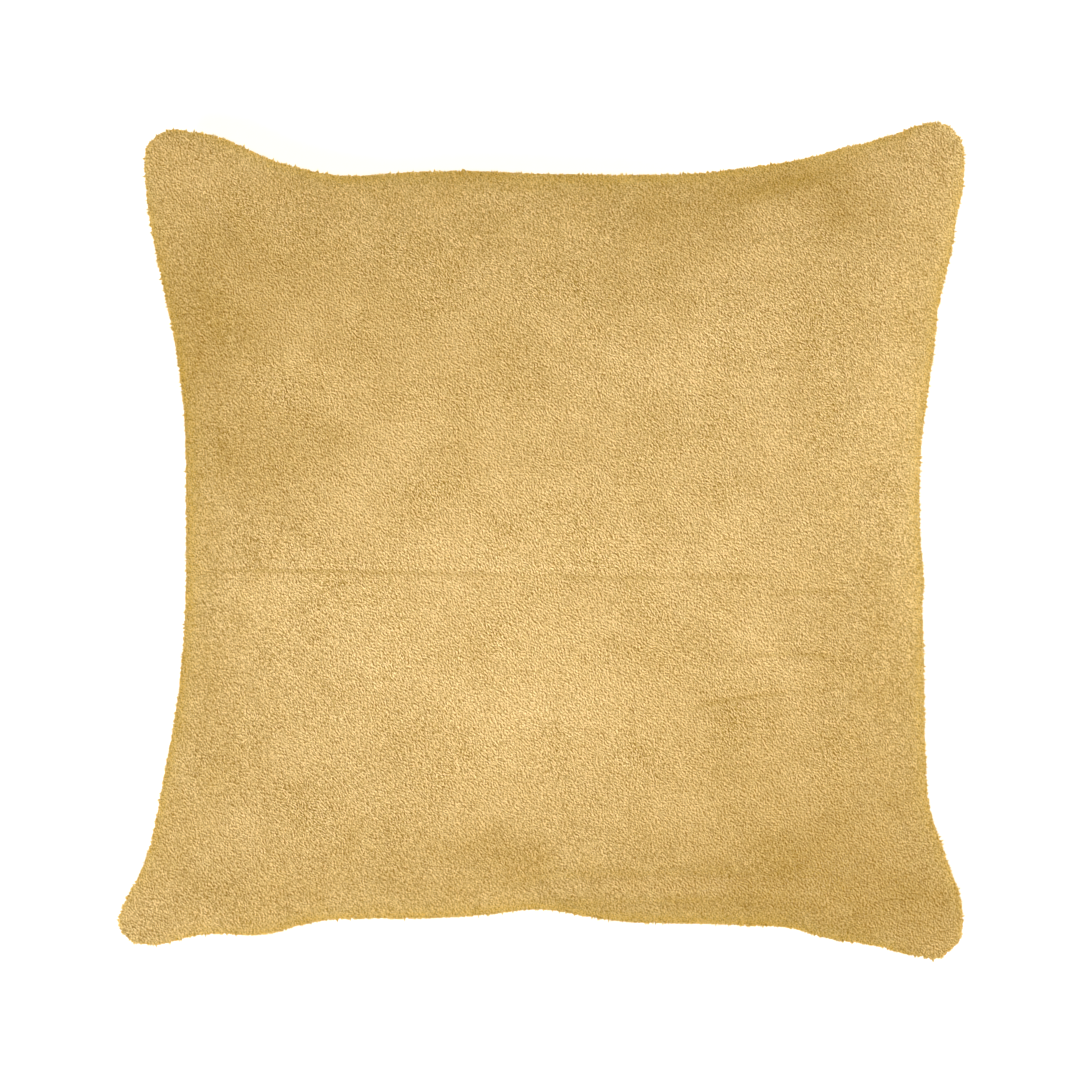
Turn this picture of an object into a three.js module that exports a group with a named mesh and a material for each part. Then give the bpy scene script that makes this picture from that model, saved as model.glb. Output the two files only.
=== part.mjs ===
import * as THREE from 'three';
import { mergeVertices } from 'three/addons/utils/BufferGeometryUtils.js';

// A square pillowcase of looped-pile cotton, filled plump and lying on its back.
// Millimetres, +Z up. +Y points to the top edge of the face and +X to its right.
// The origin is the middle of the footprint, on the surface it rests on.

// Driving dimensions: the box round the seam's four corners, and the crowns.
const HALF_WIDTH = 223.5;
const HALF_HEIGHT = 222.2;
const CORNER_RADIUS = 13;
const SEAM_HEIGHT = 61;
const FRONT_CROWN = 76;
const BACK_CROWN = 71;

// The edge is two layers of pile thick, and it rounds over within a few millimetres.
const EDGE_THICKNESS = 3;
const EDGE_ROUNDING = 7;

// How the crown falls from the middle to the seam: a flat top and steep flanks.
const CROWN_FLATNESS = 2.3;
const CROWN_STEEPNESS = 0.52;

// The back is pressed flat by the weight, and curls up over this height around it.
const REST_BLEND = 4;

// Steps from the middle of the face to the seam, and how far they close up there.
const STEPS = 24;
const CLOSE_AT_SEAM = 0.65;
const CLOSE_AT_CORNER = 0.4;

// How far the filling draws each side of the seam in from the box. The left and right
// sides are read from the bottom corner up, the others from the left corner to the right.
const LEFT_SIDE = [
  { along: -222, inset: 1 }, { along: -207, inset: 0 }, { along: -197, inset: 4.2 },
  { along: -186, inset: 10.5 }, { along: -175, inset: 15.8 }, { along: -152, inset: 21.6 },
  { along: -130, inset: 25.8 }, { along: -108, inset: 30 }, { along: -86, inset: 33.7 },
  { along: -42, inset: 37.3 }, { along: 0, inset: 38 }, { along: 42, inset: 37.8 },
  { along: 63, inset: 37 }, { along: 84, inset: 34.9 }, { along: 105, inset: 32 },
  { along: 126, inset: 27.4 }, { along: 148, inset: 22.6 }, { along: 168, inset: 18.4 },
  { along: 190, inset: 15.3 }, { along: 205, inset: 13.2 }, { along: 222, inset: 13 },
];
const RIGHT_SIDE = [
  { along: -222, inset: 1 }, { along: -202, inset: 0 }, { along: -189, inset: 2 },
  { along: -179, inset: 5.6 }, { along: -168, inset: 10 }, { along: -158, inset: 13.2 },
  { along: -147, inset: 17.9 }, { along: -136, inset: 20 }, { along: -105, inset: 21.7 },
  { along: -63, inset: 22.6 }, { along: -32, inset: 23.3 }, { along: -19, inset: 22.2 },
  { along: -5, inset: 24.2 }, { along: 21, inset: 24.9 }, { along: 53, inset: 23.7 },
  { along: 84, inset: 19.5 }, { along: 105, inset: 16.5 }, { along: 126, inset: 14 },
  { along: 147, inset: 8.6 }, { along: 168, inset: 4.9 }, { along: 180, inset: 2.6 },
  { along: 192, inset: 0.4 }, { along: 207, inset: 0 }, { along: 222, inset: 1 },
];
const TOP_SIDE = [
  { along: -223, inset: 7 }, { along: -200, inset: 5 }, { along: -182, inset: 6.4 },
  { along: -169, inset: 10 }, { along: -158, inset: 14.8 }, { along: -148, inset: 20 },
  { along: -137, inset: 24.2 }, { along: -116, inset: 29.5 }, { along: -100, inset: 31.8 },
  { along: -79, inset: 30 }, { along: -42, inset: 28.8 }, { along: 0, inset: 30.3 },
  { along: 42, inset: 31.1 }, { along: 79, inset: 30.3 }, { along: 105, inset: 27.4 },
  { along: 126, inset: 24.2 }, { along: 147, inset: 20 }, { along: 158, inset: 16.3 },
  { along: 178, inset: 11.7 }, { along: 189, inset: 7.9 }, { along: 199, inset: 3.6 },
  { along: 210, inset: 0 }, { along: 223, inset: 1 },
];
const BOTTOM_SIDE = [
  { along: -223, inset: 8 }, { along: -211, inset: 7.9 }, { along: -198, inset: 8.6 },
  { along: -190, inset: 11.6 }, { along: -179, inset: 14.4 }, { along: -169, inset: 15.4 },
  { along: -148, inset: 14.2 }, { along: -137, inset: 16.6 }, { along: -126, inset: 20 },
  { along: -111, inset: 22.8 }, { along: -63, inset: 23.7 }, { along: -32, inset: 25.2 },
  { along: -11, inset: 27.9 }, { along: 5, inset: 28.2 }, { along: 21, inset: 25.2 },
  { along: 42, inset: 22.1 }, { along: 84, inset: 20.8 }, { along: 126, inset: 18.9 },
  { along: 137, inset: 17.2 }, { along: 147, inset: 13.4 }, { along: 168, inset: 10 },
  { along: 179, inset: 7.8 }, { along: 189, inset: 4.4 }, { along: 200, inset: 1.4 },
  { along: 210, inset: 0 }, { along: 223, inset: 1 },
];

// How the four ears curl up or droop from the height of the seam.
const EARS = [
  { name: 'top left', x: -1, y: 1, lift: -5 },
  { name: 'top right', x: 1, y: 1, lift: 7 },
  { name: 'bottom right', x: 1, y: -1, lift: -3 },
  { name: 'bottom left', x: -1, y: -1, lift: 4 },
];

// Soft ridges (height above 0) and troughs (below 0) of the face. x and y are the middle
// of each, angle is its direction from +X in degrees, and width is its full spread.
const FACE_FOLDS = [
  { name: 'ridge to top right ear', x: 132, y: 180, angle: 17, length: 120, width: 15, height: 3.5 },
  { name: 'trough above that ridge', x: 128, y: 192, angle: 13, length: 66, width: 13, height: -4 },
  { name: 'trough below that ridge', x: 152, y: 168, angle: 28, length: 60, width: 16, height: -3 },
  { name: 'hollow under top right ear', x: 99, y: 133, angle: 5, length: 48, width: 16, height: -2 },
  { name: 'ridge under top right ear', x: 104, y: 150, angle: 12, length: 60, width: 16, height: 1.8 },
  { name: 'pucker at the top, left', x: -79, y: 177, angle: 80, length: 30, width: 22, height: -3 },
  { name: 'pucker at the top, middle', x: -11, y: 167, angle: 4, length: 60, width: 18, height: -2.4 },
  { name: 'pucker at the top, right', x: 52, y: 171, angle: 60, length: 34, width: 18, height: -2.4 },
  { name: 'trough over top left ear', x: -166, y: 166, angle: -52, length: 62, width: 16, height: -3 },
  { name: 'ridge over top left ear', x: -180, y: 182, angle: -50, length: 48, width: 14, height: 2 },
  { name: 'trough down the left flank', x: -172, y: 108, angle: -68, length: 84, width: 24, height: -4 },
  { name: 'dent in left flank, high', x: -153, y: 53, angle: 80, length: 34, width: 26, height: -2.6 },
  { name: 'dent in left flank, middle', x: -146, y: -5, angle: 30, length: 34, width: 26, height: -2 },
  { name: 'dent in left flank, low', x: -150, y: -63, angle: 100, length: 40, width: 28, height: -2.6 },
  { name: 'trough from bottom left ear', x: -172, y: -118, angle: 64, length: 90, width: 24, height: -3 },
  { name: 'bump left of the middle', x: -116, y: 82, angle: 20, length: 44, width: 34, height: 2.6 },
  { name: 'long slack valley', x: -95, y: 12, angle: 48, length: 110, width: 46, height: -2.2 },
  { name: 'dent at the right flank', x: 168, y: 24, angle: 70, length: 38, width: 20, height: -3 },
  { name: 'swelling beside that dent', x: 190, y: 15, angle: 80, length: 40, width: 16, height: 2 },
  { name: 'tuck along the bottom', x: 62, y: -179, angle: 1, length: 150, width: 12, height: -3 },
  { name: 'roll along the bottom', x: 84, y: -187, angle: 2, length: 104, width: 12, height: 2.4 },
  { name: 'pucker at the bottom, left', x: -134, y: -188, angle: 70, length: 34, width: 18, height: -3 },
  { name: 'pucker at the bottom, middle', x: 0, y: -186, angle: 82, length: 34, width: 22, height: -2.6 },
  { name: 'trough to bottom right ear', x: 158, y: -164, angle: -40, length: 96, width: 20, height: -3.4 },
  { name: 'fold over bottom left ear', x: -203, y: -196, angle: -48, length: 34, width: 11, height: -2.4 },
  { name: 'fuller, low on the left', x: -30, y: -50, angle: 20, length: 190, width: 150, height: 4 },
  { name: 'slacker, high on the right', x: 70, y: 90, angle: -20, length: 150, width: 110, height: -3 },
];

// The puckers of the back run from its four ears, where the filling stops short.
const BACK_FOLDS = [
  { name: 'back, top left', x: -166, y: 166, angle: -48, length: 80, width: 18, height: -3 },
  { name: 'back, top right', x: 164, y: 162, angle: 42, length: 84, width: 18, height: -3.4 },
  { name: 'back, bottom right', x: 166, y: -160, angle: -50, length: 76, width: 18, height: -3 },
  { name: 'back, bottom left', x: -164, y: -166, angle: 46, length: 84, width: 18, height: -3.2 },
];

// A smooth line through a table's rows, flat past its two ends.
function insetAt(side, along) {
  const last = side.length - 1;
  if (along <= side[0].along) return side[0].inset;
  if (along >= side[last].along) return side[last].inset;
  const next = side.findIndex((row) => row.along > along);
  const from = side[next - 1];
  const to = side[next];
  const span = to.along - from.along;
  const part = (along - from.along) / span;
  const slope = (index) => {
    const before = side[Math.max(index - 1, 0)];
    const after = side[Math.min(index + 1, last)];
    return (after.inset - before.inset) / (after.along - before.along);
  };
  const eased = part * part * (3 - 2 * part);
  const leaving = part * (1 - part) * (1 - part) * span * slope(next - 1);
  const arriving = part * part * (1 - part) * span * slope(next);
  return from.inset + (to.inset - from.inset) * eased + leaving - arriving;
}

// A place on the edge of a unit square with rounded corners, by its share of the way
// from the middle of a side to the corner. It gives the way along and the way out.
function roundedSide(share) {
  const radius = CORNER_RADIUS / HALF_WIDTH;
  const straight = 1 - radius;
  const reach = share * (straight + radius * Math.PI / 4);
  if (reach <= straight) return { along: reach, out: 1 };
  const turn = (reach - straight) / radius;
  return { along: straight + radius * Math.sin(turn), out: straight + radius * Math.cos(turn) };
}

function closeUp(share, amount) {
  return (1 - amount) * share + amount * Math.sin(share * Math.PI / 2);
}

// A grid point, in steps from the middle. square is its place on the plain square,
// which the crown follows, and cut its place on the cloth with the rounded corners.
function gridPlace(column, row) {
  const ring = Math.max(Math.abs(column), Math.abs(row));
  if (ring === 0) return { square: [0, 0], cut: [0, 0] };
  const out = closeUp(ring / STEPS, CLOSE_AT_SEAM);
  const upright = Math.abs(column) === ring;
  const share = closeUp((upright ? Math.abs(row) : Math.abs(column)) / ring, CLOSE_AT_CORNER);
  const edge = roundedSide(share);
  const across = upright ? [1, share] : [share, 1];
  const rounded = upright ? [edge.out, edge.along] : [edge.along, edge.out];
  const signs = [Math.sign(column), Math.sign(row)];
  return {
    square: signs.map((sign, axis) => sign * out * across[axis]),
    cut: signs.map((sign, axis) => sign * out * rounded[axis]),
  };
}

// The filling draws the flat cut in from all four sides.
function drawnIn([across, up]) {
  const side = across < 0 ? LEFT_SIDE : RIGHT_SIDE;
  const x = across * (HALF_WIDTH - insetAt(side, up * HALF_HEIGHT));
  const end = up < 0 ? BOTTOM_SIDE : TOP_SIDE;
  const y = up * (HALF_HEIGHT - insetAt(end, x));
  return [x, y];
}

function foldHeight(folds, x, y) {
  let height = 0;
  for (const fold of folds) {
    const angle = THREE.MathUtils.degToRad(fold.angle);
    const dx = x - fold.x;
    const dy = y - fold.y;
    const along = (dx * Math.cos(angle) + dy * Math.sin(angle)) / (fold.length / 2);
    const across = (dy * Math.cos(angle) - dx * Math.sin(angle)) / (fold.width / 2);
    height += fold.height * Math.exp(-(along ** 4) - across ** 2);
  }
  return height;
}

// Crown of one panel from 0 at the seam to 1 in the middle.
function crown([across, up]) {
  const fall = (share) => Math.max(0, 1 - Math.abs(share) ** CROWN_FLATNESS);
  return (fall(across) * fall(up)) ** CROWN_STEEPNESS;
}

// How far a place is from the seam, as a share of the edge's rounding, and the
// quarter-round that this makes of the edge.
function edgeRound([across, up]) {
  const margin = (1 - Math.max(Math.abs(across), Math.abs(up))) * HALF_WIDTH;
  const share = Math.min(1, margin / EDGE_ROUNDING);
  return Math.sqrt(share * (2 - share));
}

function seamHeight([across, up]) {
  let height = SEAM_HEIGHT;
  for (const ear of EARS) {
    const nearness = Math.max(0, across * ear.x) * Math.max(0, up * ear.y);
    height += ear.lift * nearness ** 3;
  }
  return height;
}

function frontHeight(square, x, y) {
  const edge = edgeRound(square);
  return seamHeight(square) + EDGE_THICKNESS * edge
    + FRONT_CROWN * crown(square) + foldHeight(FACE_FOLDS, x, y) * edge;
}

// The back bulges down until it meets the surface, and is flat where it rests.
function backHeight(square, x, y) {
  const edge = edgeRound(square);
  const free = seamHeight(square) - EDGE_THICKNESS * edge
    - BACK_CROWN * crown(square) - foldHeight(BACK_FOLDS, x, y) * edge;
  if (free <= -REST_BLEND) return 0;
  if (free >= REST_BLEND) return free;
  return (free + REST_BLEND) ** 2 / (4 * REST_BLEND);
}

// One panel as a grid of quads, each cut along the diagonal that points to the middle.
function panel(heightAt, facesUp) {
  const points = [];
  const faces = [];
  const across = 2 * STEPS + 1;
  const pointAt = (column, row) => (row + STEPS) * across + column + STEPS;
  for (let row = -STEPS; row <= STEPS; row++) {
    for (let column = -STEPS; column <= STEPS; column++) {
      const place = gridPlace(column, row);
      const [x, y] = drawnIn(place.cut);
      points.push(x, y, heightAt(place.square, x, y));
    }
  }
  for (let row = -STEPS; row < STEPS; row++) {
    for (let column = -STEPS; column < STEPS; column++) {
      const a = pointAt(column, row);
      const b = pointAt(column + 1, row);
      const c = pointAt(column + 1, row + 1);
      const d = pointAt(column, row + 1);
      const slantsUp = (column + 0.5) * (row + 0.5) > 0;
      const pair = slantsUp ? [[a, b, c], [a, c, d]] : [[a, b, d], [b, c, d]];
      for (const [p, q, r] of pair) faces.push(...(facesUp ? [p, q, r] : [p, r, q]));
    }
  }
  return { points, faces };
}

// Front and back panel share the seam, so together they are one closed solid.
function filledCover() {
  const front = panel(frontHeight, true);
  const back = panel(backHeight, false);
  const offset = front.points.length / 3;
  const geometry = new THREE.BufferGeometry();
  const points = [...front.points, ...back.points];
  geometry.setAttribute('position', new THREE.Float32BufferAttribute(points, 3));
  geometry.setIndex([...front.faces, ...back.faces.map((index) => index + offset)]);
  const solid = mergeVertices(geometry, 1e-3);
  solid.computeBoundingBox();
  const middle = solid.boundingBox.getCenter(new THREE.Vector3());
  solid.translate(-middle.x, -middle.y, 0);
  solid.computeVertexNormals();
  return solid;
}

const towelling = new THREE.MeshStandardMaterial({ color: 0xd6b26f, roughness: 0.95, metalness: 0 });

const cushion = new THREE.Group();
const pillowcase = new THREE.Mesh(filledCover(), towelling);
pillowcase.name = 'pillowcase';
cushion.add(pillowcase);

export default cushion;
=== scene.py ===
# %% [markdown]
# # A filled square pillowcase in looped-pile cotton
# The real thing is two squares of towelling, sewn together round the edge and turned,
# then filled until they are plump. The filling draws the four sides in and leaves four
# thin, soft ears. This lesson dresses a plain solid of that shape. First comes the
# cloth, then its creases, then the thousands of small loops that make it towelling,
# and last the floor, the light and the camera.

# %% Load the frame
import math
from collections import namedtuple

import bmesh
import bpy
import numpy as np
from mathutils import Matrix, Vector
from mathutils.kdtree import KDTree


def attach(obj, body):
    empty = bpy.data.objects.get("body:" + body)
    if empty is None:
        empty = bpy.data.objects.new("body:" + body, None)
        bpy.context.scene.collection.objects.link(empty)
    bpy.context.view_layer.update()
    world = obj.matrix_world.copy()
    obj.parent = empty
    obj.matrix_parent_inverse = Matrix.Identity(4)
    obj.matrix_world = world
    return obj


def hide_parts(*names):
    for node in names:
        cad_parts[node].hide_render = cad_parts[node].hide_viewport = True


MM = 0.001

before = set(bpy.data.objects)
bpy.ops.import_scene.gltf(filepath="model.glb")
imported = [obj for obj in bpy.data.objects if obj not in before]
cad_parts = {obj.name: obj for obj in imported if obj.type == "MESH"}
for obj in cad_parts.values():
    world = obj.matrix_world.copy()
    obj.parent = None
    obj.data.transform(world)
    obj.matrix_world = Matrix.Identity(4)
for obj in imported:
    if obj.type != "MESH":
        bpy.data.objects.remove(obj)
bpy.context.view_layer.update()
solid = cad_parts["pillowcase"]

# %% [markdown]
# ## Reading and writing many points at once
# A cloth has tens of thousands of points and its pile has many more, so moving them one
# at a time in Python would take minutes. Blender can hand a whole list over in one call
# with foreach_get and take it back with foreach_set, and numpy does the sums between.

# %% Helpers for points
TOO_SHORT = 1e-12


def read_vectors(source, name, count):
    values = np.empty(count * 3, np.float32)
    source.foreach_get(name, values)
    return values.reshape(-1, 3).astype(float)


def read_points(mesh):
    return read_vectors(mesh.vertices, "co", len(mesh.vertices))


def read_normals(mesh):
    return read_vectors(mesh.vertex_normals, "vector", len(mesh.vertices))


def write_points(mesh, points):
    mesh.vertices.foreach_set("co", points.astype(np.float32).ravel())
    mesh.update()


def unit(vectors):
    return vectors / np.maximum(np.linalg.norm(vectors, axis=1, keepdims=True), TOO_SHORT)


def add_object(name, mesh):
    piece = bpy.data.objects.new(name, mesh)
    bpy.context.scene.collection.objects.link(piece)
    return piece


def keep_modifiers(piece):
    """Makes the shape that the modifiers give the mesh's own."""
    graph = bpy.context.evaluated_depsgraph_get()
    shaped = bpy.data.meshes.new_from_object(piece.evaluated_get(graph))
    piece.modifiers.clear()
    piece.data = shaped


print("helpers ready")

# %% [markdown]
# ## The cloth as one skin
# A filled cover is one closed skin. It could be built from two flat squares that are
# sewn and blown up, but the solid already has the right outline, so the skin starts as
# a copy of it. The copy is welded and pulled in from above and below, to leave room for
# the pile that will stand on it and for the swelling to come, while its outline stays.
# A voxel remesh then lays it out in even squares, which bend alike in every direction,
# as cloth does.

# %% Copy the solid and lay it out in even squares
PILE_HEIGHT = 1.3 * MM
SWELL_ROOM = 1.6 * MM
CLOTH_SQUARE = 5.0 * MM
WELD = 0.02 * MM


def welded_copy(source, name):
    work = bmesh.new()
    work.from_mesh(source.data)
    bmesh.ops.remove_doubles(work, verts=work.verts, dist=WELD)
    mesh = bpy.data.meshes.new(name)
    work.to_mesh(mesh)
    work.free()
    return add_object(name, mesh)


cover = welded_copy(solid, "cover")
points, normals = read_points(cover.data), read_normals(cover.data)
write_points(cover.data, points - normals * np.abs(normals[:, 2:]) * (PILE_HEIGHT + SWELL_ROOM))
even = cover.modifiers.new("even squares", "REMESH")
even.mode = "VOXEL"
even.voxel_size = CLOTH_SQUARE
keep_modifiers(cover)
print("cloth squares:", len(cover.data.polygons))

# %% [markdown]
# ## Filling it
# The filling presses outwards much as air does. Inflating the mesh by its normals would
# be quick, but it would look like rubber. A cloth simulation with pressure and no
# gravity gives the skin the uneven fullness of real fabric. Only the outward part of
# each point's way is kept, and all ways are scaled so that the longest reaches a cap.
# So the ears aren't drawn in, and the cover keeps the size of its solid. Where the
# cushion rests, the skin stays flat. Twenty frames are enough for it to settle.

# %% Swell the cloth
FILL_PRESSURE = 4.0
FILL_FRAMES = 20
CLOTH_QUALITY = 5
MOST_SWELL = 3.2 * MM
PRESSED_PILE = 0.9 * MM


def swell(piece):
    before, outward = read_points(piece.data), read_normals(piece.data)
    cloth = piece.modifiers.new("filling", "CLOTH")
    cloth.settings.use_pressure = True
    cloth.settings.uniform_pressure_force = FILL_PRESSURE
    cloth.settings.effector_weights.gravity = 0
    cloth.settings.quality = CLOTH_QUALITY
    cloth.point_cache.frame_end = FILL_FRAMES
    for step in range(1, FILL_FRAMES + 1):
        bpy.context.scene.frame_set(step)
    keep_modifiers(piece)
    bpy.context.scene.frame_set(1)
    way = ((read_points(piece.data) - before) * outward).sum(axis=1, keepdims=True)
    kept = np.maximum(way, 0) * MOST_SWELL / way.max()
    write_points(piece.data, before + outward * kept)
    print("mean way, mm:", round(float(way.mean()) / MM, 2), "kept:", round(float(kept.mean()) / MM, 2))


def press_flat(piece, lowest):
    points = read_points(piece.data)
    points[:, 2] = np.maximum(points[:, 2], lowest)
    write_points(piece.data, points)


swell(cover)
press_flat(cover, PRESSED_PILE)

finer = cover.modifiers.new("finer squares", "SUBSURF")
finer.levels = 1
finer.render_levels = 1
keep_modifiers(cover)
cover.data.shade_smooth()
print("finer squares:", len(cover.data.polygons))

# %% [markdown]
# ## Marks placed one by one
# The solid already has the large folds. What is left are the small ones: a faint press
# line across the middle, short creases on the right, the tucks along the bottom and
# round the ears. Sculpting them by brush would be natural, but it can't be repeated,
# so each is a row of a table. x and y are the middle of the mark, angle its direction
# from the right in degrees, bow how far its middle is pushed aside, and width its full
# spread, all but the angle in millimetres. The same kind of row serves twice: here its
# amount is a height, and later it is a change of tone that paints light and shade.

# %% Creases of the cloth
Mark = namedtuple("Mark", "name x y angle length width bow amount")
FULL_CREASE_SLOPE = 0.5

CREASES = [
    Mark("press line, left", -95, -17, -1, 150, 4, 0.8, -0.7),
    Mark("press line, right", 62, -19, 0, 110, 4, -0.5, -0.6),
    Mark("short crease, right, high", 136, -28, 3, 36, 6, 1, -0.9),
    Mark("short crease, right, middle", 127, -60, 0, 54, 6, 1, -0.9),
    Mark("bowed crease, right", 105, -83, 8, 58, 7, 2, -1.0),
    Mark("line over the bottom tuck", 62, -177, 1, 140, 7, 1.5, -1.4),
    Mark("ridge of the bottom roll", 88, -184, 1, 74, 6, 0, 1.0),
    Mark("line under the bottom roll", 50, -191, 2, 84, 6, 1, -1.2),
    Mark("crease over the bottom left ear", -211, -201, -40, 28, 5, 0, -1.6),
    Mark("second crease there", -199, -207, -30, 24, 5, 0, -1.0),
    Mark("crease under the top right ear", 99, 133, 4, 46, 7, 3, -1.2),
    Mark("second crease there", 118, 158, 14, 60, 6, 2, -1.0),
    Mark("third crease there", 148, 181, 20, 56, 6, -2, -1.1),
    Mark("line along the top", -13, 179, 0, 52, 6, 1, 0.8),
    Mark("crease on the top left ear", -172, 172, -45, 36, 6, 1, -1.2),
    Mark("second crease there", -160, 160, -42, 30, 6, -1, -1.0),
    Mark("third crease there", -186, 160, -62, 30, 6, 0, -0.8),
]


def marks_at(marks, points):
    """The sum of the marks' amounts at each point, in the marks' own unit."""
    x, y = points[:, 0] / MM, points[:, 1] / MM
    total = np.zeros(len(points))
    for mark in marks:
        angle = math.radians(mark.angle)
        dx, dy = x - mark.x, y - mark.y
        along = (dx * math.cos(angle) + dy * math.sin(angle)) / (mark.length / 2)
        aside = dy * math.cos(angle) - dx * math.sin(angle) - mark.bow * (1 - along ** 2)
        across = aside / (mark.width / 2)
        total += mark.amount * np.exp(-along ** 4 - across ** 2)
    return total


points, normals = read_points(cover.data), read_normals(cover.data)
on_face = np.clip(normals[:, 2] / FULL_CREASE_SLOPE, 0, 1)
crease_heights = marks_at(CREASES, points) * on_face * MM
write_points(cover.data, points + normals * crease_heights[:, None])
print("creases:", len(CREASES), "deepest, mm:", round(float(crease_heights.min()) / MM, 2))

# %% [markdown]
# ## The seam
# Front and back meet in a seam that runs round the edge. It is sewn from inside, so no
# stitch shows: what shows is a shallow valley where the pile of the two panels parts.
# The seam could be drawn as a curve by hand, but the solid knows where it is: it is the
# chain of edges between a face that looks up and a face that looks down.

# %% Find the seam and sink it
SEAM_DEPTH = 0.7 * MM
SEAM_WIDTH = 4.0 * MM
SEAM_STEP = 1.0 * MM


def seam_points(source):
    work = bmesh.new()
    work.from_mesh(source.data)
    bmesh.ops.remove_doubles(work, verts=work.verts, dist=WELD)
    ring = set()
    for edge in work.edges:
        lifts = [face.normal.z for face in edge.link_faces]
        if min(lifts) < 0 < max(lifts):
            ring.update(edge.verts)
    places = np.array([vertex.co - vertex.normal * PILE_HEIGHT for vertex in ring])
    work.free()
    places = places[np.argsort(np.arctan2(places[:, 1], places[:, 0]))]
    closed = np.vstack([places, places[:1]])
    reached = np.concatenate([[0], np.cumsum(np.linalg.norm(np.diff(closed, axis=0), axis=1))])
    steps = np.arange(0, reached[-1], SEAM_STEP)
    return np.stack([np.interp(steps, reached, closed[:, axis]) for axis in range(3)], axis=1)


seam = seam_points(solid)
seam_search = KDTree(len(seam))
for index, place in enumerate(seam):
    seam_search.insert(place, index)
seam_search.balance()


def seam_distance(points):
    return np.array([seam_search.find(point)[2] for point in points])


def seam_share(points, width):
    """1 on the seam, falling to 0 over its width."""
    return np.exp(-(seam_distance(points) / (width / 2)) ** 2)


points, normals = read_points(cover.data), read_normals(cover.data)
write_points(cover.data, points - normals * (seam_share(points, SEAM_WIDTH) * SEAM_DEPTH)[:, None])
print("seam, mm:", round(len(seam) * SEAM_STEP / MM))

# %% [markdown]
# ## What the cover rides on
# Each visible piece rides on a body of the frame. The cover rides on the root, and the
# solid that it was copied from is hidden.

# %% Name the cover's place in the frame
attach(cover, "root")
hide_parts("pillowcase")
print("cover rides on root")

# %% [markdown]
# ## Where the loops stand
# Towelling is a plain ground cloth with a loop of yarn pulled up at every other thread.
# Hair particles could make such a pile, but they leave no mesh that another program can
# read. Geometry Nodes can scatter points that keep a distance from each other, and on
# each point a small mesh will stand. The loops of this cloth lie over from the upper
# left to the lower right and are longer than wide, so they need more room lengthwise.
# For that the cloth is squeezed along that direction, the points are scattered, and the
# squeeze is undone. Fewer and larger loops go where nobody looks closely, on the
# underside. Round the edge the bend opens the pile, so there the loops stand taller,
# and a share of them has been pulled out further, which gives a ragged outline.

# %% Scatter the places of the loops
LIE_ANGLE = math.radians(-50)
LIE = np.array([math.cos(LIE_ANGLE), math.sin(LIE_ANGLE), 0])
SQUEEZE = 0.6
Zone = namedtuple("Zone", "name lowest_slope highest_slope spacing size height pulled seed")
ZONES = [
    Zone("face", 0.25, 1.1, 0.73, 1.0, 1.0, 0, 7),
    Zone("edge", -0.5, 0.25, 0.90, 1.0, 1.7, 0.15, 8),
    Zone("back", -1.1, -0.5, 1.4, 1.9, 1.2, 0, 9),
]
PULLED_HEIGHT = 1.4
PULLED_SEED = 46
ROOM_FOR_POINTS = 4


def stretched(points, by):
    """Stretches the points along the way in which the loops lie."""
    return points + np.outer((points @ LIE) * (by - 1), LIE)


def scatter_nodes(spacing, seed):
    tree = bpy.data.node_groups.new("loop places", "GeometryNodeTree")
    tree.interface.new_socket("Cloth", in_out="INPUT", socket_type="NodeSocketGeometry")
    tree.interface.new_socket("Places", in_out="OUTPUT", socket_type="NodeSocketGeometry")
    start = tree.nodes.new("NodeGroupInput")
    end = tree.nodes.new("NodeGroupOutput")
    here = tree.nodes.new("GeometryNodeInputNamedAttribute")
    here.data_type = "BOOLEAN"
    here.inputs["Name"].default_value = "here"
    scattered = tree.nodes.new("GeometryNodeDistributePointsOnFaces")
    scattered.distribute_method = "POISSON"
    scattered.inputs["Distance Min"].default_value = spacing
    scattered.inputs["Density Max"].default_value = ROOM_FOR_POINTS / spacing ** 2
    scattered.inputs["Seed"].default_value = seed
    as_mesh = tree.nodes.new("GeometryNodePointsToVertices")
    tree.links.new(start.outputs["Cloth"], scattered.inputs["Mesh"])
    tree.links.new(here.outputs["Attribute"], scattered.inputs["Selection"])
    tree.links.new(scattered.outputs["Points"], as_mesh.inputs["Points"])
    tree.links.new(as_mesh.outputs["Mesh"], end.inputs["Places"])
    return tree


def scatter(cloth, zone):
    """Places of the zone's loops and the cloth's outward direction at each."""
    mesh = cloth.data.copy()
    outward = mesh.attributes.new("outward", "FLOAT_VECTOR", "POINT")
    outward.data.foreach_set("vector", read_normals(mesh).astype(np.float32).ravel())
    slopes = read_vectors(mesh.polygon_normals, "vector", len(mesh.polygons))[:, 2]
    here = mesh.attributes.new("here", "BOOLEAN", "FACE")
    here.data.foreach_set("value", (slopes > zone.lowest_slope) & (slopes <= zone.highest_slope))
    write_points(mesh, stretched(read_points(mesh), SQUEEZE))
    base = add_object("loop base", mesh)
    placing = base.modifiers.new("loop places", "NODES")
    placing.node_group = scatter_nodes(zone.spacing * MM, zone.seed)
    keep_modifiers(base)
    places = stretched(read_points(base.data), 1 / SQUEEZE)
    found = read_vectors(base.data.attributes["outward"].data, "vector", len(places))
    bpy.data.objects.remove(base)
    return places, unit(found)


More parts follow.
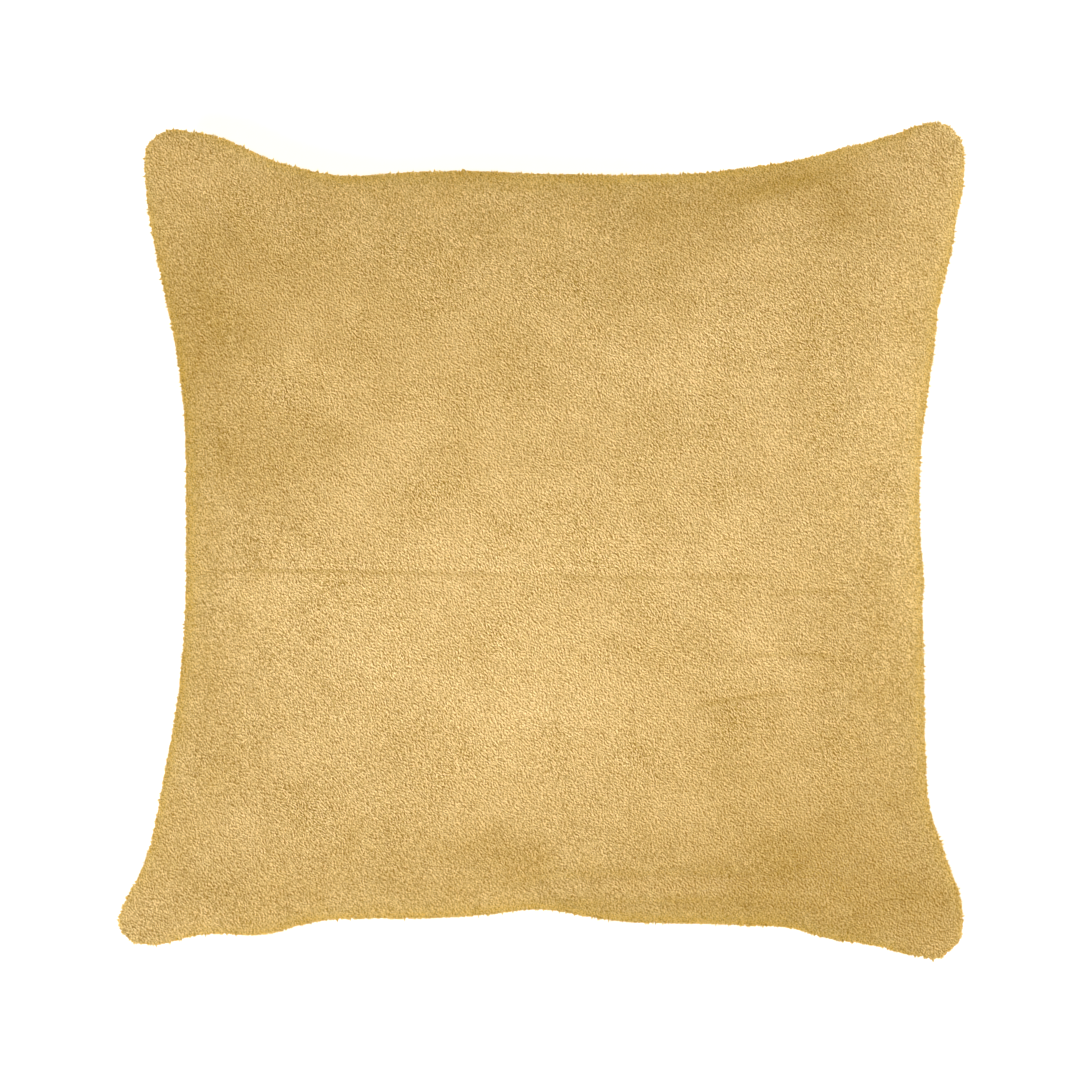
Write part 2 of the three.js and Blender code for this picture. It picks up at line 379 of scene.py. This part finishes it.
scattered_zones = [scatter(cover, zone) for zone in ZONES]
places = np.concatenate([found[0] for found in scattered_zones])
outward = np.concatenate([found[1] for found in scattered_zones])
counts = [len(found[0]) for found in scattered_zones]
sizes = np.repeat([zone.size for zone in ZONES], counts)
heights = np.repeat([zone.height for zone in ZONES], counts)
pulled_share = np.repeat([zone.pulled for zone in ZONES], counts)
pulled = np.random.default_rng(PULLED_SEED).random(len(places)) < pulled_share
heights = heights * np.where(pulled, PULLED_HEIGHT, 1)
print("loops:", {zone.name: len(found[0]) for zone, found in zip(ZONES, scattered_zones)})

# %% [markdown]
# ## One loop, many times
# Seen from a step away, a loop that has been washed and dried is a short ridge: it
# rises from the ground, runs over a rounded back and dives in again. Two ends, two
# sides and a top are enough for that, because there are over a hundred thousand of
# them. In the table, forth runs along the loop, aside across it and up away from the
# cloth, in shares of the loop's length, width and height. Copies by instancing would be
# light, but here the loops should all differ, so their points are worked out together,
# and each loop gets its own length, width, height, lean and direction.

# %% Shape every loop
LoopPoint = namedtuple("LoopPoint", "forth aside up rise")
LOOP_POINTS = [
    LoopPoint(0.0, 0.0, -0.2, 0.1),
    LoopPoint(0.5, -0.5, 0.0, 0.1),
    LoopPoint(1.0, 0.0, -0.2, 0.1),
    LoopPoint(0.5, 0.5, 0.0, 0.1),
    LoopPoint(0.5, 0.0, 1.0, 1.0),
]
LOOP_FACES = np.array([(0, 1, 4), (1, 2, 4), (2, 3, 4), (3, 0, 4)])
LOOP_LENGTH = (2.2 * MM, 3.2 * MM)
LOOP_WIDTH = (0.75 * MM, 1.0 * MM)
LOOP_HEIGHT = (0.7 * MM, 1.4 * MM)
LOOP_LEAN = 0.2
LIE_DRIFT = 10
LIE_DRIFT_SIZE = 12 * MM
LIE_DRIFT_SEED = 3
LIE_SCATTER = 18
PARTED_PILE = 0.25
SHAPE_SEED = 45
WAVE_RANGE = (0.6, 1.4)

chance = np.random.default_rng(SHAPE_SEED)


def soft_noise(points, size, seed, waves=28):
    """A smooth field from about -1 to 1 whose lumps are about size across."""
    draw = np.random.default_rng(seed)
    ways = unit(draw.normal(size=(waves, 3)))
    ways *= (draw.uniform(*WAVE_RANGE, waves) * math.pi / size)[:, None]
    total = np.zeros(len(points))
    for way, start in zip(ways, draw.uniform(0, 2 * math.pi, waves)):
        total += np.sin(points @ way + start)
    return total / math.sqrt(waves / 2)


def shape_loops(places, outward, sizes, heights):
    count = len(places)
    along = unit(LIE - (outward @ LIE)[:, None] * outward)
    across = np.cross(outward, along)
    drift = LIE_DRIFT * soft_noise(places, LIE_DRIFT_SIZE, LIE_DRIFT_SEED)
    turn = np.radians(drift + chance.normal(0, LIE_SCATTER, count))[:, None]
    turned = along * np.cos(turn) + across * np.sin(turn)
    across = across * np.cos(turn) - along * np.sin(turn)
    along = turned
    length = sizes * chance.uniform(*LOOP_LENGTH, count)
    width = sizes * chance.uniform(*LOOP_WIDTH, count)
    height = heights * chance.uniform(*LOOP_HEIGHT, count)
    height *= 1 - PARTED_PILE * seam_share(places, SEAM_WIDTH / 2)
    lean = chance.normal(0, LOOP_LEAN, count)
    points = np.empty((count, len(LOOP_POINTS), 3))
    for index, point in enumerate(LOOP_POINTS):
        aside = point.aside + lean * point.up
        points[:, index] = places + along * ((point.forth - 0.5) * length)[:, None]
        points[:, index] += across * (aside * width)[:, None] + outward * (point.up * height)[:, None]
    points[..., 2] = np.maximum(points[..., 2], 0)
    return points


loop_points = shape_loops(places, outward, sizes, heights)
print("loop triangles:", len(loop_points) * len(LOOP_FACES))

# %% [markdown]
# ## Tone of the pile
# A pile looks lighter or darker by the way in which it has been brushed, and its yarn
# is never dyed quite evenly. A photograph of the cloth could be laid over it, but it
# would hold the light of one room. Here the tone is a number from 0, deep, to 1, pale.
# It starts well on the pale side. Soft lumps of two sizes and chance move it, and a
# table of patches puts the larger changes where they belong. The patches are in part
# brushing, and for the most part painted light and shade: darker in the creases, dents,
# troughs and hollows and along the flanks and edges, lighter on the crown, along the
# right flank and on the tops of a bump and a fold.

# %% Tone of each loop
# Patches of painted light and shade, in part also brushing: each row darkens or lightens the tone where
# light falls on the creases, hollows, flanks and folds.
BRUSHED_AND_PAINTED_LIGHT = [
    Mark("press line, left", -95, -17, -1, 150, 2.4, 0.8, -0.34),
    Mark("press line, right", 62, -19, 0, 130, 2.4, -0.5, -0.26),
    Mark("above the press line, pale", -40, -14, 0, 250, 3.2, 0, 0.10),
    Mark("short crease, right, high", 136, -28, 3, 36, 3, 1, -0.25),
    Mark("short crease, right, middle", 127, -60, 0, 54, 3, 1, -0.25),
    Mark("bowed crease, right", 105, -83, 8, 58, 3, 2, -0.25),
    Mark("left flank, dark", -172, 100, 90, 130, 96, 0, -0.20),
    Mark("dent beside the left flank", -124, 36, 60, 60, 44, 0, -0.12),
    Mark("top edge, dark", 90, 176, 0, 200, 44, 0, -0.10),
    Mark("dent beside the top right ear", 164, 173, 30, 40, 30, 0, -0.15),
    Mark("trough under the top right ear", 128, 184, 14, 64, 18, 0, -0.14),
    Mark("hollow under the top right fold", 56, 146, 8, 80, 28, 0, -0.10),
    Mark("bottom edge, dark", -10, -172, 0, 350, 50, 0, -0.08),
    Mark("middle of the bottom edge, dark", -34, -162, 0, 64, 30, 0, -0.12),
    Mark("under the bottom tuck, dark", 50, -190, 2, 90, 16, 0, -0.10),
    Mark("bottom left, dark", -150, -182, 8, 110, 40, 0, -0.05),
    Mark("bottom right ear, dark", 160, -182, -10, 150, 84, 0, -0.25),
    Mark("left flank, low, dark", -168, -48, 90, 180, 60, 0, -0.10),
    Mark("right flank, low, dark", 184, -88, 90, 120, 60, 0, -0.12),
    Mark("right flank, pale", 188, 22, 90, 180, 32, 0, 0.11),
    Mark("right flank, high, pale", 150, 106, 0, 80, 60, 0, 0.04),
    Mark("right of the middle, pale", 106, 4, 90, 190, 72, 0, 0.07),
    Mark("middle, pale", 34, -2, 0, 190, 44, 0, 0.05),
    Mark("lower left of the middle, pale", -70, -56, -16, 250, 150, 0, 0.15),
    Mark("bump on the upper left, pale", -122, 80, 0, 52, 38, 0, 0.12),
    Mark("upper left, dark", -100, 122, 0, 130, 60, 0, -0.05),
    Mark("fold from the top right, pale", 74, 96, 12, 140, 46, 0, 0.09),
]
MIDDLE_TONE = 0.63
BROAD_LUMPS = (34 * MM, 0.02)
SMALL_LUMPS = (10 * MM, 0.02)
FIRST_LUMP_SEED = 11
TONE_CHANCE = 0.04
TONE_ENDS = (0.04, 0.96)


def loop_tones(places):
    # The patches of painted light and shade act on the face only.
    tone = MIDDLE_TONE + marks_at(BRUSHED_AND_PAINTED_LIGHT, places) * (outward[:, 2] > 0)
    for seed, (size, amount) in enumerate((BROAD_LUMPS, SMALL_LUMPS), FIRST_LUMP_SEED):
        tone = tone + amount * soft_noise(places, size, seed)
    return np.clip(tone + chance.normal(0, TONE_CHANCE, len(places)), *TONE_ENDS)


tones = loop_tones(places)
print("tone: mean", round(float(tones.mean()), 3), "spread", round(float(tones.std()), 3))

# %% [markdown]
# ## The pile as meshes
# All loops together are one mesh too large to handle well, so the pile is kept as six
# pieces: four quarters of the face and two halves of the back. Each point carries two
# numbers for the material to read, its loop's tone and its own rise from root to tip.
# The same two numbers are also laid out as a flat map, across by tone and up by rise,
# so that a program which bakes the colours finds all of them on one small picture.

# %% Build the pieces of the pile
MAP_SPREAD = 0.012


def add_numbers(mesh, name, values):
    attribute = mesh.attributes.new(name, "FLOAT", "POINT")
    attribute.data.foreach_set("value", values.astype(np.float32).ravel())


def pile_piece(name, chosen):
    points, tone = loop_points[chosen], tones[chosen]
    count, corners = points.shape[:2]
    faces = (np.arange(count)[:, None, None] * corners + LOOP_FACES).reshape(-1, 3)
    mesh = bpy.data.meshes.new(name)
    mesh.vertices.add(count * corners)
    mesh.vertices.foreach_set("co", points.astype(np.float32).ravel())
    mesh.loops.add(faces.size)
    mesh.loops.foreach_set("vertex_index", faces.astype(np.int32).ravel())
    mesh.polygons.add(len(faces))
    mesh.polygons.foreach_set("loop_start", np.arange(0, faces.size, 3, dtype=np.int32))
    mesh.update(calc_edges=True)
    mesh.shade_smooth()
    rise = np.tile([point.rise for point in LOOP_POINTS], (count, 1))
    add_numbers(mesh, "tone", np.repeat(tone[:, None], corners, axis=1))
    add_numbers(mesh, "rise", rise)
    spread = np.array([point.forth - 0.5 + point.aside for point in LOOP_POINTS])
    across = tone[:, None] + MAP_SPREAD * spread
    flat = np.stack([across, rise], axis=2).reshape(-1, 2)[faces.ravel()]
    mesh.uv_layers.new(name="OFBake").uv.foreach_set("vector", flat.astype(np.float32).ravel())
    piece = add_object(name, mesh)
    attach(piece, "root")
    print(name, "triangles:", len(faces))
    return piece


right, upper = places[:, 0] > 0, places[:, 1] > 0
back = outward[:, 2] <= ZONES[-1].highest_slope
PILE_PARTS = [
    ("pile_top_left", ~right & upper & ~back),
    ("pile_top_right", right & upper & ~back),
    ("pile_bottom_left", ~right & ~upper & ~back),
    ("pile_bottom_right", right & ~upper & ~back),
    ("pile_back_left", ~right & back),
    ("pile_back_right", right & back),
]
pile = [pile_piece(name, chosen) for name, chosen in PILE_PARTS]

# %% [markdown]
# ## Yarn as a shader node group
# Ground cloth and loops are spun from the same cotton, so one group colours both. It
# mixes a deep and a pale yarn by the tone, darkens the root of the pile, where little
# light reaches and the colour bounces between the threads, and adds the fine slubs of
# the spinning. The darkening ends well below the tip, so a loop stays bright over most
# of its back. The slubs are a noise stretched along the loops, less the same noise a
# little to its left and right. Such a difference keeps light and dark streaks of one
# breadth and leaves out all cloudy patches. Dark and light streaks each have a shade of
# their own, which is multiplied onto the colour. A group built once keeps the two
# materials alike when a value changes.

# %% The yarn group
# The tone that the group mixes by carries uneven dye and also the patches of painted light and shade.
DEEP_YARN = (0.40, 0.238, 0.002, 1)
PALE_YARN = (0.95, 0.745, 0.400, 1)
ROOT_SHADE = (0.80, 0.77, 0.69, 1)
SHADED_RISE = 0.1
LIT_RISE = 0.45
SLUB_SIZE = 0.62 * MM
SLUB_STRETCH = 2.3
SLUB_SHIFT = 0.8 * MM
SLUB_RANGE = 0.45
DARK_SLUB = (0.50, 0.41, 0.23, 1)
LIGHT_SLUB = (1.20, 1.28, 1.44, 1)


def colour_mix(tree, kind):
    mix = tree.nodes.new("ShaderNodeMix")
    mix.data_type = "RGBA"
    mix.blend_type = kind
    return mix.inputs["Factor"], mix.inputs[6], mix.inputs[7], mix.outputs[2]


def yarn_group():
    tree = bpy.data.node_groups.new("towelling yarn", "ShaderNodeTree")
    for name, kind in (("Place", "Vector"), ("Tone", "Float"), ("Rise", "Float"), ("Slub Size", "Float"),
                       ("Deep", "Color"), ("Pale", "Color"), ("Root Shade", "Color"),
                       ("Dark Slub", "Color"), ("Light Slub", "Color")):
        tree.interface.new_socket(name, in_out="INPUT", socket_type="NodeSocket" + kind)
    for name, kind in (("Colour", "Color"), ("Slubs", "Float")):
        tree.interface.new_socket(name, in_out="OUTPUT", socket_type="NodeSocket" + kind)
    start = tree.nodes.new("NodeGroupInput")
    end = tree.nodes.new("NodeGroupOutput")
    finer = tree.nodes.new("ShaderNodeMath")
    finer.operation = "DIVIDE"
    finer.inputs[0].default_value = 1
    lying = tree.nodes.new("ShaderNodeMapping")
    lying.vector_type = "TEXTURE"
    lying.inputs["Rotation"].default_value = (0, 0, LIE_ANGLE)
    lying.inputs["Scale"].default_value = (SLUB_STRETCH, 1, 1)

    def noise_aside(shift):
        """The slubs' noise, read so far to the side of the loops' own direction."""
        aside = tree.nodes.new("ShaderNodeVectorMath")
        aside.inputs[1].default_value = (0, shift, 0)
        texture = tree.nodes.new("ShaderNodeTexNoise")
        texture.inputs["Detail"].default_value = 0
        tree.links.new(lying.outputs[0], aside.inputs[0])
        tree.links.new(aside.outputs[0], texture.inputs["Vector"])
        tree.links.new(finer.outputs[0], texture.inputs["Scale"])
        return texture.outputs["Fac"]

    noise, left, right = (noise_aside(shift) for shift in (0, SLUB_SHIFT, -SLUB_SHIFT))
    over_left, over_right, slubs = (tree.nodes.new("ShaderNodeMath") for _ in range(3))
    over_left.operation = "SUBTRACT"
    over_right.operation = "SUBTRACT"
    slubs.operation = "ADD"
    by_tone, deep, pale, dyed = colour_mix(tree, "MIX")
    by_rise, root, tip, shade = colour_mix(tree, "MIX")
    tip.default_value = (1, 1, 1, 1)
    by_slub, dark_slub, light_slub, slub_shade = colour_mix(tree, "MIX")
    all_of_it, colour, shading, shaded = colour_mix(tree, "MULTIPLY")
    all_of_it.default_value = 1
    all_again, plain, spinning, spun = colour_mix(tree, "MULTIPLY")
    all_again.default_value = 1
    lit_share = tree.nodes.new("ShaderNodeMapRange")
    lit_share.interpolation_type = "SMOOTHSTEP"
    lit_share.inputs["From Min"].default_value = SHADED_RISE
    lit_share.inputs["From Max"].default_value = LIT_RISE
    slub_share = tree.nodes.new("ShaderNodeMapRange")
    slub_share.inputs["From Min"].default_value = -SLUB_RANGE
    slub_share.inputs["From Max"].default_value = SLUB_RANGE
    for source, target in (
        (start.outputs["Slub Size"], finer.inputs[1]),
        (start.outputs["Place"], lying.inputs["Vector"]),
        (noise, over_left.inputs[0]),
        (left, over_left.inputs[1]),
        (noise, over_right.inputs[0]),
        (right, over_right.inputs[1]),
        (over_left.outputs[0], slubs.inputs[0]),
        (over_right.outputs[0], slubs.inputs[1]),
        (slubs.outputs[0], slub_share.inputs["Value"]),
        (slub_share.outputs[0], by_slub),
        (start.outputs["Dark Slub"], dark_slub),
        (start.outputs["Light Slub"], light_slub),
        (start.outputs["Tone"], by_tone),
        (start.outputs["Deep"], deep),
        (start.outputs["Pale"], pale),
        (start.outputs["Rise"], lit_share.inputs["Value"]),
        (lit_share.outputs[0], by_rise),
        (start.outputs["Root Shade"], root),
        (dyed, colour),
        (shade, shading),
        (shaded, plain),
        (slub_shade, spinning),
        (spun, end.inputs["Colour"]),
        (noise, end.inputs["Slubs"]),
    ):
        tree.links.new(source, target)
    return tree


yarn = yarn_group()
print("yarn group inputs:", [item.name for item in yarn.interface.items_tree if item.in_out == "INPUT"])

# %% [markdown]
# ## The pile's material
# Cotton loops are matt, with a soft golden shine where the light grazes them, which is
# what the Sheen of the Principled shader is for. The white glint that the shader adds to
# all surfaces would grey the edges, so it is turned low. Values that are the same all
# over are set on the shader itself, and only the colour comes from the group.

# %% Material of the loops
ROUGHNESS = 0.92
GLINT = 0.05
LOOP_SHEEN = 0.9
SHEEN_SPREAD = 0.5
SHEEN_TINT = (1.0, 0.62, 0.10, 1)


def new_material(name, sheen):
    material = bpy.data.materials.new(name)
    material.use_nodes = True
    shader = material.node_tree.nodes["Principled BSDF"]
    shader.inputs["Roughness"].default_value = ROUGHNESS
    shader.inputs["Specular IOR Level"].default_value = GLINT
    shader.inputs["Sheen Weight"].default_value = sheen
    shader.inputs["Sheen Roughness"].default_value = SHEEN_SPREAD
    shader.inputs["Sheen Tint"].default_value = SHEEN_TINT
    return material, material.node_tree, shader


def place_yarn(tree, tone, rise):
    """Adds the yarn group to a material and returns it."""
    node = tree.nodes.new("ShaderNodeGroup")
    node.node_tree = yarn
    place = tree.nodes.new("ShaderNodeTexCoord")
    tree.links.new(place.outputs["Object"], node.inputs["Place"])
    tree.links.new(tone, node.inputs["Tone"])
    tree.links.new(rise, node.inputs["Rise"])
    node.inputs["Slub Size"].default_value = SLUB_SIZE
    node.inputs["Deep"].default_value = DEEP_YARN
    node.inputs["Pale"].default_value = PALE_YARN
    node.inputs["Root Shade"].default_value = ROOT_SHADE
    node.inputs["Dark Slub"].default_value = DARK_SLUB
    node.inputs["Light Slub"].default_value = LIGHT_SLUB
    return node


def number_of(tree, name):
    reader = tree.nodes.new("ShaderNodeAttribute")
    reader.attribute_name = name
    return reader.outputs["Fac"]


loops_look, tree, shader = new_material("towelling_loops", LOOP_SHEEN)
node = place_yarn(tree, number_of(tree, "tone"), number_of(tree, "rise"))
tree.links.new(node.outputs["Colour"], shader.inputs["Base Color"])
for piece in pile:
    piece.data.materials.append(loops_look)
print("loops material on", len(pile), "pieces")

# %% [markdown]
# ## The ground's material
# Between the loops one sees the ground, a tight plain weave in deep shade. Its threads
# could be modelled, but under the pile they would be wasted, so they are two crossed
# waves in the material: they lift the colour a little and feed the bump.

# %% Material of the ground cloth
THREAD = 1.2 * MM
THREAD_BEND = 0.6
WAVE_AT_SCALE_ONE = math.pi / 10
WEAVE_DEPTH = 0.25 * MM
GROUND_RISE = 0.2
GROUND_SHEEN = 0.1
GROUND_ROUGHNESS = (0.85, 1.0)


def thread_wave(tree, place, direction):
    wave = tree.nodes.new("ShaderNodeTexWave")
    wave.bands_direction = direction
    wave.inputs["Scale"].default_value = WAVE_AT_SCALE_ONE / THREAD
    wave.inputs["Distortion"].default_value = THREAD_BEND
    tree.links.new(place, wave.inputs["Vector"])
    return wave.outputs["Fac"]


ground_look, tree, shader = new_material("towelling_ground", GROUND_SHEEN)
place = tree.nodes.new("ShaderNodeTexCoord").outputs["Object"]
weave = tree.nodes.new("ShaderNodeMath")
weave.operation = "MAXIMUM"
tree.links.new(thread_wave(tree, place, "X"), weave.inputs[0])
tree.links.new(thread_wave(tree, place, "Y"), weave.inputs[1])
lift = tree.nodes.new("ShaderNodeMath")
lift.operation = "MULTIPLY"
lift.inputs[1].default_value = GROUND_RISE
tree.links.new(weave.outputs[0], lift.inputs[0])
lumps = tree.nodes.new("ShaderNodeTexNoise")
lumps.inputs["Scale"].default_value = 1 / BROAD_LUMPS[0]
tree.links.new(place, lumps.inputs["Vector"])
node = place_yarn(tree, lumps.outputs["Fac"], lift.outputs[0])
tree.links.new(node.outputs["Colour"], shader.inputs["Base Color"])
rough = tree.nodes.new("ShaderNodeMapRange")
rough.inputs["To Min"].default_value, rough.inputs["To Max"].default_value = GROUND_ROUGHNESS
tree.links.new(node.outputs["Slubs"], rough.inputs["Value"])
tree.links.new(rough.outputs[0], shader.inputs["Roughness"])
bump = tree.nodes.new("ShaderNodeBump")
bump.inputs["Distance"].default_value = WEAVE_DEPTH
tree.links.new(weave.outputs[0], bump.inputs["Height"])
tree.links.new(bump.outputs[0], shader.inputs["Normal"])
cover.data.materials.append(ground_look)
print("ground material nodes:", len(tree.nodes))

# %% [markdown]
# ## The floor
# The cushion lies on a plain white floor. A catcher that shows nothing but shadows
# would be simpler, but a real white table also throws light back up at the cloth. This
# one shines a little by itself as well, which keeps the shadows on it faint.

# %% Floor
FLOOR_REACH = 6.0
FLOOR_GLOW = 0.45
TABLE_WHITE = (0.9, 0.9, 0.9, 1)

floor_mesh = bpy.data.meshes.new("floor")
floor_corners = [(x * FLOOR_REACH, y * FLOOR_REACH, 0) for x, y in ((-1, -1), (1, -1), (1, 1), (-1, 1))]
floor_mesh.from_pydata(floor_corners, [], [(0, 1, 2, 3)])
floor = add_object("floor", floor_mesh)
floor_look = bpy.data.materials.new("white_table")
floor_look.use_nodes = True
floor_shader = floor_look.node_tree.nodes["Principled BSDF"]
floor_shader.inputs["Base Color"].default_value = TABLE_WHITE
floor_shader.inputs["Roughness"].default_value = 1
floor_shader.inputs["Emission Color"].default_value = (1, 1, 1, 1)
floor_shader.inputs["Emission Strength"].default_value = FLOOR_GLOW
floor_mesh.materials.append(floor_look)
print("floor corners:", len(floor_corners))

# %% [markdown]
# ## The sky
# A bright room sends light in from low down all round, which keeps the rim of the
# cushion bright and golden. A ring of lamps could do that too, but one sky does it
# evenly: it is warm and bright at the horizon and dim overhead.

# %% Sky
HORIZON_COLOUR = (1, 0.87, 0.18, 1)
HORIZON_STRENGTH = 2.55
OVERHEAD_STRENGTH = 0.15
HORIZON_REACH = 0.4

sky = bpy.data.worlds.new("studio")
sky.use_nodes = True
tree = sky.node_tree
tree.nodes["Background"].inputs["Color"].default_value = HORIZON_COLOUR
direction = tree.nodes.new("ShaderNodeTexCoord")
up = tree.nodes.new("ShaderNodeSeparateXYZ")
strength = tree.nodes.new("ShaderNodeMapRange")
strength.inputs["From Max"].default_value = HORIZON_REACH
strength.inputs["To Min"].default_value = HORIZON_STRENGTH
strength.inputs["To Max"].default_value = OVERHEAD_STRENGTH
tree.links.new(direction.outputs["Generated"], up.inputs[0])
tree.links.new(up.outputs["Z"], strength.inputs["Value"])
tree.links.new(strength.outputs[0], tree.nodes["Background"].inputs["Strength"])
bpy.context.scene.world = sky
print("sky strength:", HORIZON_STRENGTH, "down to", OVERHEAD_STRENGTH)

# %% [markdown]
# ## The lamps
# The main light is broad and soft and comes mostly from above: a key from the lower
# left, a fill from the upper right and a weak one from the right side. Small lamps
# would give hard shadows, so each is a wide disc. Azimuth is the side that it shines
# from and height how far it stands above the horizon, both in degrees.

# %% Lamps
LAMP_COLOUR = (1, 1, 1.07)
LIGHT_DISTANCE = 2.2
LIGHT_SIZE = 0.9
AIM = Vector((0, 0, 0.06))
Lamp = namedtuple("Lamp", "name azimuth height power")
LAMPS = [
    Lamp("key", 222, 66, 32),
    Lamp("fill", 45, 68, 23),
    Lamp("side", 0, 20, 12),
]

for lamp in LAMPS:
    data = bpy.data.lights.new(lamp.name, "AREA")
    data.shape = "DISK"
    data.size = LIGHT_SIZE
    data.energy = lamp.power
    data.color = LAMP_COLOUR
    turn, rise = math.radians(lamp.azimuth), math.radians(lamp.height)
    light = bpy.data.objects.new(lamp.name, data)
    light.location = LIGHT_DISTANCE * Vector(
        (math.cos(rise) * math.cos(turn), math.cos(rise) * math.sin(turn), math.sin(rise)))
    light.rotation_mode = "QUATERNION"
    light.rotation_quaternion = (AIM - light.location).to_track_quat("-Z", "Y")
    bpy.context.scene.collection.objects.link(light)
print("lamps:", [lamp.name for lamp in LAMPS])

# %% [markdown]
# ## The camera
# The photograph looks straight down at the face from far away, so the camera hangs high
# above the middle with a long lens. The lens follows from the size of a pixel on the
# cushion's widest level: the picture's width in pixels times that size has to fill the
# sensor at the camera's distance.

# %% Camera
PICTURE_PIXELS = 1080
PIXEL = 0.526 * MM
SHIFT_PIXELS = -0.5
WIDEST_LEVEL = 0.06
CAMERA_DISTANCE = 3.0

camera_data = bpy.data.cameras.new("camera")
camera_data.lens = camera_data.sensor_width * CAMERA_DISTANCE / (PICTURE_PIXELS * PIXEL)
camera = bpy.data.objects.new("camera", camera_data)
camera.location = (SHIFT_PIXELS * PIXEL, 0, WIDEST_LEVEL + CAMERA_DISTANCE)
bpy.context.scene.collection.objects.link(camera)
bpy.context.scene.camera = camera
bpy.context.scene.view_settings.view_transform = "Standard"
print("lens, mm:", round(camera_data.lens, 1))
